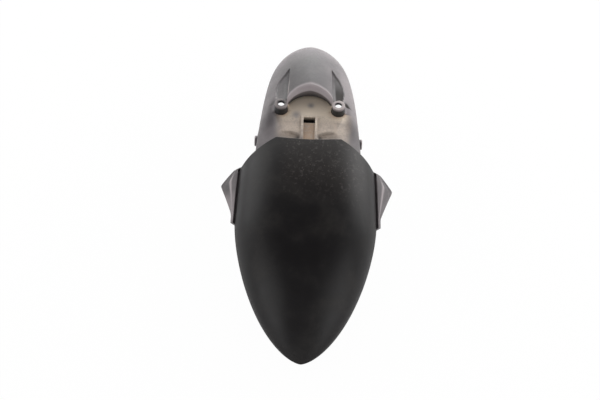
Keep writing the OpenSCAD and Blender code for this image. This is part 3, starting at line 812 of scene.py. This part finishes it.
def satin_paint(finish):
    """Sprayed satin two-pack paint on ABS: a smooth dark coat with a wide soft reflection."""
    material, tree, output = new_material("satin_black_paint")
    where = coordinates(tree)
    colour = tint(tree, times(tree, mask(tree, "dust"), 0.02), finish.paint, finish.dust)
    mottle = ramp(tree, noise(tree, where, 6, 6, 0.75), 0.5, 0.72)
    mottle = times(tree, mottle, times(tree, mask(tree, "dust"), 0.36))
    colour = tint(tree, mottle, colour, finish.paint_mottle)
    film = noise(tree, where, 45, 5, 0.6)
    colour = tint(tree, ramp(tree, film, 0.45, 0.8, 0.0, 0.12), colour, finish.paint_film)
    specks = {"Vector": where, "Scale": per_mm(7), "Randomness": 1.0}
    speck = add(tree, "ShaderNodeTexVoronoi", {"feature": "F1"}, specks)
    speck = times(tree, ramp(tree, speck, 0.03, 0.09, 1.0, 0.0), mask(tree, "dust"))
    colour = tint(tree, times(tree, speck, 0.5), colour, finish.paint_speck)
    peel = {"Strength": 0.06, "Distance": 0.3 * MM, "Height": noise(tree, where, 2.2, 2)}
    bump = add(tree, "ShaderNodeBump", None, peel)
    rough = ramp(tree, film, 0.3, 0.7, 0.33, 0.45)
    sockets = {"Base Color": colour, "Roughness": rough, "Normal": bump, "IOR": 1.34}
    shader = add(tree, "ShaderNodeBsdfPrincipled", None, sockets)
    tree.links.new(shader, output.inputs["Surface"])
    return material


def zinc_plate(finish):
    """Cold-headed steel screws with clear zinc plate: a pale grey metal, a little cloudy."""
    material, tree, output = new_material("zinc_plated_steel")
    where = coordinates(tree)
    cloud = noise(tree, where, 4, 5, 0.6)
    colour = tint(tree, ramp(tree, cloud, 0.35, 0.7, 0.0, 0.6), finish.zinc, finish.zinc_cloud)
    rough = ramp(tree, cloud, 0.3, 0.7, 0.28, 0.5)
    sockets = {"Base Color": colour, "Roughness": rough, "Metallic": 1.0}
    shader = add(tree, "ShaderNodeBsdfPrincipled", None, sockets)
    tree.links.new(shader, output.inputs["Surface"])
    return material


def points_from_axle(piece, form):
    """The piece's points in millimetres from the wheel axis."""
    mesh = piece.data
    flat = np.empty(len(mesh.vertices) * 3)
    mesh.vertices.foreach_get("co", flat)
    return flat.reshape(-1, 3) / MM - np.array(form.shift)


def store_mask(piece, name, values):
    layer = piece.data.attributes.new(name, "FLOAT", "POINT")
    layer.data.foreach_set("value", np.ascontiguousarray(clamp01(values), dtype=np.float32))


class CarrierDirtAndPaintedLight:
    """Where dust, dirt, painted light and painted shade lie on the carrier, from each point's place.

    Every rise and fall takes a place and a run: millimetres for lengths, degrees for the angle.
    """

    layers = ("shade", "dust", "thick", "brown", "grime", "rubbed", "blot", "haze")
    floor_over, floor_under = 6, -14
    dust_half_w_left, dust_half_w_right, dust_run = 56, 70, 20
    thin_dust_left, thin_dust_right, thin_dust_y, thin_dust_run = 0.5, 0.7, -4, 16
    channel_half_w, rail_outer_x, channel_rear_y = 9.2, 12.6, 26.5
    # Where the painted light on the recess floor starts, and its run.
    thick_start_y, thick_run = 24, 20
    # Dust by the step's foot and in the channel, more round the bosses' fronts, and painted shade in the
    # valleys.
    foot_brown, channel_brown, boss_brown, valley_brown = 0.12, 0.6, 0.6, 0.1
    # Strengths of the painted shade in the arch's groove, over the dome's middle, in spots beside the
    # channel, on the left boss plate, in the channel and on the ears.
    groove_dark, crown_dark, mark_dark, plate_dark, channel_dark = 0.96, 0.6, 0.8, 0.3, 0.25
    ear_dark_left, ear_dark_right = 0.42, 0.2
    crown_x, crown_half_w, crown_run, crown_end_y = -12, 48, 34, 270
    scoop_low, scoop_deep, scoop_end_y, scoop_outer_share = -40, 60, 118, 0.72
    # Strengths of the painted highlights on the scoops' brinks and the boss rings.
    brink_left, brink_right, ring_left, ring_right = 0.8, 0.4, 0.5, 0.9
    # Strengths of the painted shade in the scoops.
    grime_right_far, grime_right_near, grime_left = 0.55, 0.4, 0.5
    ridge_share_w, blot_share = 0.012, 0.75
    blots = ((2, 62, 24), (-20, 42, 50))
    # Place and spread of the two painted shade spots beside the channel.
    mark_place, mark_spread = (17, -1), (16, 9)
    # Strengths of the painted light and painted highlights.
    lip_haze, tail_haze, flank_haze, crease_haze, pad_haze = 0.9, 0.25, 0.3, 0.75, 0.9
    ear_haze, plate_haze = 0.4, 0.95

    def __init__(self, form, points):
        self.form = form
        self.x, self.y, self.z = points.T
        self.across = np.abs(self.x)
        self.left = self.x < 0
        self.right = self.x > 0
        self.angle = np.degrees(np.arctan2(-self.y, self.z))
        self.radius = np.hypot(self.y, self.z)
        self.share = self.across / form.dome_w(self.angle)
        self.foot = form.foot_y(self.x, 0)
        self.arch = form.arch_share(self.x)
        self.step_z = form.step_top(self.x)
        self.lip_z = self.step_z - form.lip_h
        self.behind_step = self.y - form.step_line(self.x)
        self.to_boss = np.hypot(self.across - form.boss_spacing / 2, self.y - form.boss_y) - form.boss_d / 2
        self.valley = rise(form.valley(self.x, self.y), 0.8, 2.2)
        self.ear_share = self.across_ear()
        self.below_dome = form.dome_radius(self.x, self.angle, 0) - self.radius
        low, high = form.floor_z + self.floor_under, form.floor_z + self.floor_over
        self.on_floor = fall(self.z, high, 2.5) * rise(self.z, low, 6)
        self.channel = fall(self.across, self.channel_half_w, 1.2) * fall(self.y, self.channel_rear_y, 1.5)
        self.boss_wall = fall(self.to_boss, 1, 1) * fall(self.z, form.boss_top_z - 3.2, 1.2)
        self.boss_wall *= self.y < form.boss_y + 4
        self.scoops = self.in_scoops()
        self.dusty = self.on_dusty_floor()

    def across_ear(self):
        """Share of the way from the panel's groove (0) to the ear's outline (1)."""
        start = self.form.panel_w(self.angle) + self.form.groove_w
        return (self.across - start) / np.maximum(self.form.ear_reach(self.angle), 3)

    def in_scoops(self):
        """The two scoops behind the bosses, where the surface lies below the dome."""
        form = self.form
        place = (self.share > form.scoop_share) & (self.y > form.boss_y + 8)
        place &= (self.z > form.floor_z + self.scoop_low) & (self.radius > form.dome_r - self.scoop_deep)
        return rise(self.below_dome, 0.8, 1.5) * place

    def shade(self):
        """Painted shade in bores, the slot, the gap under the arch and other places that little light
        reaches, and over the dome's middle, spots beside the channel, the left boss plate and the ears' outer
        parts.
        """
        form = self.form
        bore = fall(self.to_boss, (form.boss_hole_d - form.boss_d) / 2 + 0.6, 0.5)
        bore = bore * fall(self.z, form.boss_top_z - 0.4, 0.8)
        reach = form.slot_front_y + form.slot_l + 0.2
        slot = (self.across < form.slot_w / 2 + 0.2) & (self.y > form.slot_front_y - 0.2) & (self.y < reach)
        slot = slot * fall(self.z, form.floor_z - 0.6, 1.5)
        groove = self.arch * rise(self.y, self.foot - 0.1, 0.8) * fall(self.z, self.lip_z - 0.5, 1.5)
        groove = groove * (self.y < self.foot + 22)
        # Painted shade over the dome's middle behind the step, more to the left.
        crown = fall(np.abs(self.x - self.crown_x), self.crown_half_w, self.crown_run)
        crown = crown * rise(self.behind_step, 0, 8) * fall(self.y, self.crown_end_y, 150)
        # Painted shade in two spots beside the channel, at the panel's edge.
        shade_spots = spot(self.across, self.y, self.mark_place, self.mark_spread)
        shade_spots = shade_spots * (self.across > self.rail_outer_x)
        # Painted shade on the left boss's plate.
        plate = fall(self.to_boss, 0, 1) * (self.z > form.boss_top_z - 2) * self.left
        # Painted shade over the ears' outer parts, darker on the left.
        ear = rise(self.ear_share, 0.46, 0.1) * fall(self.ear_share, 1.02, 0.4)
        ear = ear * (self.angle > form.ear_rear_angle) * fall(self.angle, form.ear_end_angle, 10)
        dark = [self.boss_wall, bore, slot, self.groove_dark * groove, self.crown_dark * crown]
        dark += [self.mark_dark * shade_spots, self.plate_dark * plate]
        dark += [self.channel_dark * self.channel * self.on_floor]
        dark += [ear * np.where(self.left, self.ear_dark_left, self.ear_dark_right)]
        return np.maximum.reduce(dark)

    def on_dusty_floor(self):
        """The recess floor between the bosses, less toward the panel outside the channel."""
        half_w = np.where(self.right, self.dust_half_w_right, self.dust_half_w_left)
        thin = np.where(self.right, self.thin_dust_right, self.thin_dust_left)
        amount = mix(thin, 1, rise(self.y, self.thin_dust_y, self.thin_dust_run))
        amount = np.maximum(amount, self.across < self.channel_half_w)
        place = fall(self.across, half_w, self.dust_run) * fall(self.y, self.foot + 1.5, 1.5)
        return self.on_floor * place * amount

    def dust(self):
        return self.dusty * (1 - self.boss_wall)

    # Painted light on the recess floor's rear, in the arch's shade, laid on as deep dust.
    def thick(self):
        return self.dust() * rise(self.y, self.thick_start_y, self.thick_run)

    def brown(self):
        """Brown dust in the channel and a little by the step's foot, the same colour round the bosses'
        fronts, and painted shade in the valleys in that colour.
        """
        by_foot = rise(self.y, self.foot - 3.5, 3) * fall(self.across, 42, 10)
        by_boss = bell(self.to_boss, 0, 5) * (self.y < self.form.boss_y)
        parts = [self.foot_brown * by_foot, self.channel_brown * self.channel]
        parts += [self.boss_brown * by_boss, self.valley_brown * self.valley]
        return self.dusty * np.maximum.reduce(parts)

    def grime(self):
        """Painted shade in the scoops, much darker in the right one."""
        near = fall(self.y, self.scoop_end_y, 40)
        right = (self.grime_right_far + self.grime_right_near * near) * rise(self.share, 0.5, 0.04)
        return self.scoops * (right * self.right + self.grime_left * near * self.left)

    def rubbed(self):
        """Painted highlights: pale lines along the scoops' inner ridges and outer brinks, and round the boss
        rings.
        """
        form = self.form
        ridge = bell(self.share, form.scoop_share - self.ridge_share_w, self.ridge_share_w)
        ridge = ridge * rise(self.y, 62, 6) * fall(self.y, 112, 20)
        brink = bell(self.below_dome, 1.1, 1.0) * rise(self.below_dome, 0.1, 0.3)
        brink = brink * (self.share > form.scoop_share + 0.04) * (self.share < self.scoop_outer_share)
        brink = brink * fall(self.y, 120, 20) * rise(self.y, 66, 6) * (self.z > form.floor_z + 6)
        ring = bell(self.to_boss, -0.8, 0.9) * (np.abs(self.z - form.boss_top_z + 0.25) < 1.25)
        highlit_edges = [ridge * self.left, brink * np.where(self.left, self.brink_left, self.brink_right)]
        highlit_edges += [ring * np.where(self.left, self.ring_left, self.ring_right)]
        return np.maximum.reduce(highlit_edges) * np.maximum(rise(self.to_boss, 0.5, 1.5), ring > 0)

    def blot(self):
        """Two grey blots, one behind the slot and one beside it."""
        spots = sum(spot(self.x, self.y, (x, y), (spread, spread)) for x, y, spread in self.blots)
        return self.blot_share * spots * self.on_floor

    def haze(self):
        """Painted light and highlights on the arch's lip, palest at its upper edge, the tail, the right
        flank, the ears' crease and the left ear's low part, the pads and the right boss's plate.
        """
        form = self.form
        # The lip's face made paler and its upper edge palest: painted light and a painted highlight.
        edge = mix(0.8, 1, rise(self.z, self.step_z - 3, 1.5))
        lip = self.arch * rise(self.behind_step, -8, 2) * fall(self.behind_step, 4.5, 3)
        lip = lip * rise(self.z, self.lip_z - 1, 1.5) * edge
        flank = rise(self.x, 40, 14) * rise(self.y, 20, 30) * fall(self.y, 190, 60) * rise(self.z, 250, 30)
        crease = bell(self.ear_share, 0.41, 0.07) * rise(self.angle, form.ear_rear_angle + 2, 3)
        crease = crease * (self.across > form.panel_half_w)
        pad = self.across > form.dome_w(self.angle) + form.side_flare + 0.4
        pad &= self.angle < form.notch_angle + 3
        ear = rise(self.angle, 13, 4) * (self.ear_share > 0.05)
        ear = ear * self.left * (self.angle < form.ear_front_angle)
        plate = fall(self.to_boss, 0, 1) * (self.z > form.boss_top_z - 1) * self.right
        light = [self.lip_haze * lip, self.tail_haze * rise(self.y, 150, 90)]
        light += [self.flank_haze * flank * (1 - self.scoops), self.crease_haze * crease]
        light += [self.pad_haze * pad, self.ear_haze * ear, self.plate_haze * plate]
        return np.maximum.reduce(light)


class MUDGUARD_OT_carrier(bpy.types.Operator):
    """Build the grained carrier moulding"""

    bl_idname = "mudguard.carrier"
    bl_label = "Carrier"

    def execute(self, context):
        form = Carrier(context.scene.mudguard_sizes)
        piece = skin("carrier", form, form.face(0), form.face(form.wall), form.carrier_rim)
        bake(piece)
        self.join_details(piece, form)
        finish_mesh(piece, form.sharp_angle, grained_polypropylene(context.scene.mudguard_finish))
        dirt_and_light = CarrierDirtAndPaintedLight(form, points_from_axle(piece, form))
        for layer in dirt_and_light.layers:
            store_mask(piece, layer, getattr(dirt_and_light, layer)())
        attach(piece, "root")
        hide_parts("rear_mudguard")
        return {"FINISHED"}

    def join_details(self, piece, form):
        """Adds the bosses, rails, pocket, pads and screw seats, then cuts their holes."""
        added, cut = [], []
        low = form.floor_z - form.wall / 2
        for side in (-1, 1):
            self.boss(form, side, low, added, cut)
            self.fork_mount(form, side, added, cut)
            inner, outer = sorted((side * form.slot_w / 2, side * (form.slot_w / 2 + form.rail_w)))
            rear = form.slot_front_y + form.slot_l
            start = (inner, form.rear_edge_y + 0.9, low)
            end = (outer, rear, form.floor_z + form.rail_h)
            added.append(block("rail", form, start, end, form.rail_edge))
        self.pocket(form, low, added, cut)
        self.seats(form, added, cut)
        combine(piece, added, "UNION")
        combine(piece, cut, "DIFFERENCE")

    def boss(self, form, side, low, added, cut):
        """A ring boss: a plate with a hole on a round wall that is open to the rear below the plate."""
        place = Matrix.Translation(form.place(side * form.boss_spacing / 2, form.boss_y, 0))
        inside = form.boss_d / 2 - form.wall
        under_plate = form.boss_top_z - form.boss_plate
        hollow_z = under_plate - form.boss_hollow_depth
        added.append(turned_disc("boss", form.boss_d / 2, low, form.boss_top_z, form.boss_edge, place))
        top, bottom = form.boss_top_z + 5, under_plate - 5
        hole = turned_disc("boss_hole", form.boss_hole_d / 2, top, bottom, 0.1, place)
        hollow = turned_disc("boss_hollow", inside, hollow_z, under_plate, 0.5, place)
        x = side * form.boss_spacing / 2
        first = (x - inside, form.boss_y, hollow_z + 1)
        last = (x + inside, form.boss_y + form.boss_d / 2 + 4, under_plate - 1)
        cut += [hole, hollow, block("boss_window", form, first, last, 0)]

    def fork_mount(self, form, side, added, cut):
        """A round pad on the side wall with a hole for the fork leg's screw."""
        radius = form.wall_low_r + form.pad_d / 2
        height = math.sqrt(radius**2 - form.pad_y**2)
        share = (form.dome_r - form.shoulder_depth - radius) / form.side_wall_h
        x = form.dome_w(-math.degrees(math.asin(form.pad_y / radius))) + form.side_flare * share
        place = Matrix.Translation(form.place(side * x, form.pad_y, height))
        place = place @ Matrix.Rotation(side * math.pi / 2, 4, "Y")
        low, high = -form.wall - 5, form.pad_proud + 5
        added.append(turned_disc("pad", form.pad_d / 2, -form.wall - 1, form.pad_proud, 0.7, place))
        cut.append(turned_disc("pad_hole", form.pad_hole_d / 2, low, high, 0.1, place))

    def pocket(self, form, low, added, cut):
        """The slot's blind pocket, a thin box under the floor."""
        half, front, rear = form.slot_w / 2, form.slot_front_y, form.slot_front_y + form.slot_l
        bottom = form.floor_z - form.pocket_depth
        wall = form.pocket_wall
        outside = (-half - wall, front - wall, bottom - wall), (half + wall, rear + wall, low)
        added.append(block("pocket", form, *outside, 0))
        cut.append(block("pocket_space", form, (-half, front, bottom), (half, rear, form.floor_z + 2), 0))

    def seats(self, form, added, cut):
        """Flat round seats under the carrier's lap for the panel's screws."""
        hole_r = form.stud_d / 2 + form.stud_gap
        for place in form.screw_places():
            base = form.seat_z + form.seat_h + form.wall / 2
            added.append(turned_disc("seat", form.seat_d / 2, base, form.seat_z, 0.5, place))
            cut.append(turned_disc("stud_hole", hole_r, form.seat_z - 3, -1, 0.1, place))


class MUDGUARD_OT_panel(bpy.types.Operator):
    """Build the painted front panel"""

    bl_idname = "mudguard.panel"
    bl_label = "Front panel"

    def execute(self, context):
        form = Panel(context.scene.mudguard_sizes)
        piece = skin("painted_panel", form, form.face(0), form.face(form.wall), form.panel_rim)
        bake(piece)
        studs, bores = [], []
        for place in form.screw_places():
            end = form.seat_z + form.stud_gap
            studs.append(turned_disc("stud", form.stud_d / 2, -form.wall / 2, end, 0.4, place))
            bores.append(turned_disc("bore", form.bore_d / 2, form.seat_z - 1, -form.bore_roof, 0.1, place))
        combine(piece, studs, "UNION")
        combine(piece, bores, "DIFFERENCE")
        finish_mesh(piece, form.sharp_angle, satin_paint(context.scene.mudguard_finish))
        x, y, _ = points_from_axle(piece, form).T
        store_mask(piece, "dust", 0.9 * rise(x, -52, 30) * fall(x, 98, 26) * rise(y, -132, 70))
        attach(piece, "root")
        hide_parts("front_panel")
        return {"FINISHED"}


class MUDGUARD_OT_screws(bpy.types.Operator):
    """Give the panel's screws their zinc plate"""

    bl_idname = "mudguard.screws"
    bl_label = "Screws"

    def execute(self, context):
        plate = zinc_plate(context.scene.mudguard_finish)
        for name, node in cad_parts.items():
            if name.startswith("panel_screw"):
                node.data.materials.clear()
                node.data.materials.append(plate)
        return {"FINISHED"}


class MUDGUARD_OT_studio(bpy.types.Operator):
    """Set the floor, lamps and camera"""

    bl_idname = "mudguard.studio"
    bl_label = "Studio"

    def execute(self, context):
        studio = context.scene.mudguard_studio
        form = Form(context.scene.mudguard_sizes)
        self.floor(studio)
        self.room(context.scene, studio)
        self.lamps()
        self.camera(context.scene, studio, form)
        context.scene.view_settings.view_transform = "Standard"
        return {"FINISHED"}

    def floor(self, studio):
        half = 6.0
        mesh = bpy.data.meshes.new("floor")
        corners = [(-half, -half, 0), (half, -half, 0), (half, half, 0), (-half, half, 0)]
        mesh.from_pydata(corners, [], [(0, 1, 2, 3)])
        floor = new_object("floor", mesh)
        material, tree, output = new_material("white_paper_sweep")
        seen = add(tree, "ShaderNodeLightPath", output="Is Camera Ray")
        paper = add(tree, "ShaderNodeBsdfDiffuse", None, {"Color": linear(studio.floor_tone)})
        white = add(tree, "ShaderNodeEmission", None, {"Color": (1, 1, 1, 1), "Strength": 1.0})
        share = times(tree, seen, studio.floor_glow)
        surface = add(tree, "ShaderNodeMixShader", None, {0: share, 1: paper, 2: white})
        tree.links.new(surface, output.inputs["Surface"])
        mesh.materials.append(material)

    def room(self, scene, studio):
        """A white room that is darker where the camera stands, and plain white behind the object."""
        world = bpy.data.worlds.new("white_room")
        scene.world = world
        world.use_nodes = True
        tree = world.node_tree
        tree.nodes.clear()
        direction = add(tree, "ShaderNodeTexCoord", output="Generated")
        dark_side = {0: direction, 1: (0, -0.55, 0.835)}
        toward = add(tree, "ShaderNodeVectorMath", {"operation": "DOT_PRODUCT"}, dark_side, "Value")
        seen = add(tree, "ShaderNodeLightPath", output="Is Camera Ray")
        levels = []
        for unseen in (studio.world_strength, ramp(tree, toward, 0.2, 0.9, 1.0, 0.12)):
            sockets = {MIX_FACTOR: seen, MIX_LEVEL_A: unseen, MIX_LEVEL_B: 1.0}
            levels.append(add(tree, "ShaderNodeMix", {"data_type": "FLOAT"}, sockets))
        strength = times(tree, *levels)
        back = add(tree, "ShaderNodeBackground", None, {"Color": (1, 1, 1, 1), "Strength": strength})
        output = tree.nodes.new("ShaderNodeOutputWorld")
        tree.links.new(back, output.inputs["Surface"])

    def lamps(self):
        """Soft boxes: name, place, aim, width in metres and power in watts."""
        boxes = [
            ("soft_box_right", (1.9, 1.1, 1.0), (0, 0.05, 0.1), 1.8, 30),
            ("soft_box_left", (-1.9, 0.9, 1.0), (0, 0.0, 0.1), 1.8, 18),
            ("soft_box_back", (0.1, 2.2, 0.8), (0, 0.1, 0.1), 1.8, 34),
            ("front_fill_right", (1.7, -1.9, 0.85), (0, 0.05, 0.1), 2.0, 20),
            ("front_fill_left", (-1.7, -1.9, 0.85), (0, 0.05, 0.1), 2.0, 20),
        ]
        for name, place, aim, width, power in boxes:
            light = bpy.data.lights.new(name, "AREA")
            light.size = width
            light.energy = power
            lamp = bpy.data.objects.new(name, light)
            lamp.location = place
            lamp.rotation_euler = (Vector(aim) - Vector(place)).to_track_quat("-Z", "Y").to_euler()
            bpy.context.scene.collection.objects.link(lamp)

    def camera(self, scene, studio, form):
        """The camera looks down from the front, as the photograph does, with a small roll."""
        place = form.place(-18.69, -1291.47, 1807.58)
        azimuth, elevation, roll = math.radians(-0.423), math.radians(52.0), math.radians(2.47)
        level = math.cos(elevation)
        back = Vector((math.sin(azimuth) * level, -math.cos(azimuth) * level, math.sin(elevation)))
        right = Vector((math.cos(azimuth), math.sin(azimuth), 0))
        up = back.cross(right)
        right, up = right * math.cos(roll) + up * math.sin(roll), up * math.cos(roll) - right * math.sin(roll)
        data = bpy.data.cameras.new("camera")
        data.lens = studio.lens
        data.sensor_width = 36
        data.clip_start, data.clip_end = 0.1, 30
        camera = bpy.data.objects.new("camera", data)
        camera.matrix_world = Matrix.Translation(place) @ Matrix((right, up, back)).transposed().to_4x4()
        scene.collection.objects.link(camera)
        scene.camera = camera


class MUDGUARD_PT_panel(bpy.types.Panel):
    """Lists the sizes and the steps that build the mudguard"""

    bl_label = "Motorcycle mudguard"
    bl_idname = "MUDGUARD_PT_panel"
    bl_space_type = "VIEW_3D"
    bl_region_type = "UI"
    bl_category = "Mudguard"

    def draw(self, context):
        for group in ("mudguard_sizes", "mudguard_finish", "mudguard_studio"):
            owner = getattr(context.scene, group)
            column = self.layout.column()
            for name in type(owner).__annotations__:
                column.prop(owner, name)
        for operator in OPERATORS:
            self.layout.operator(operator.bl_idname)


GROUPS = {
    "mudguard_sizes": MudguardSizes,
    "mudguard_finish": MudguardFinish,
    "mudguard_studio": MudguardStudio,
}
OPERATORS = (MUDGUARD_OT_studio, MUDGUARD_OT_carrier, MUDGUARD_OT_panel, MUDGUARD_OT_screws)


def register():
    for cls in (*GROUPS.values(), *OPERATORS, MUDGUARD_PT_panel):
        bpy.utils.register_class(cls)
    for name, group in GROUPS.items():
        setattr(bpy.types.Scene, name, PointerProperty(type=group))


def unregister():
    for name in GROUPS:
        delattr(bpy.types.Scene, name)
    for cls in (MUDGUARD_PT_panel, *reversed(OPERATORS), *reversed(GROUPS.values())):
        bpy.utils.unregister_class(cls)


def main():
    register()
    bpy.ops.mudguard.studio()
    bpy.ops.mudguard.carrier()
    bpy.ops.mudguard.panel()
    bpy.ops.mudguard.screws()


if __name__ == "__main__":
    main()
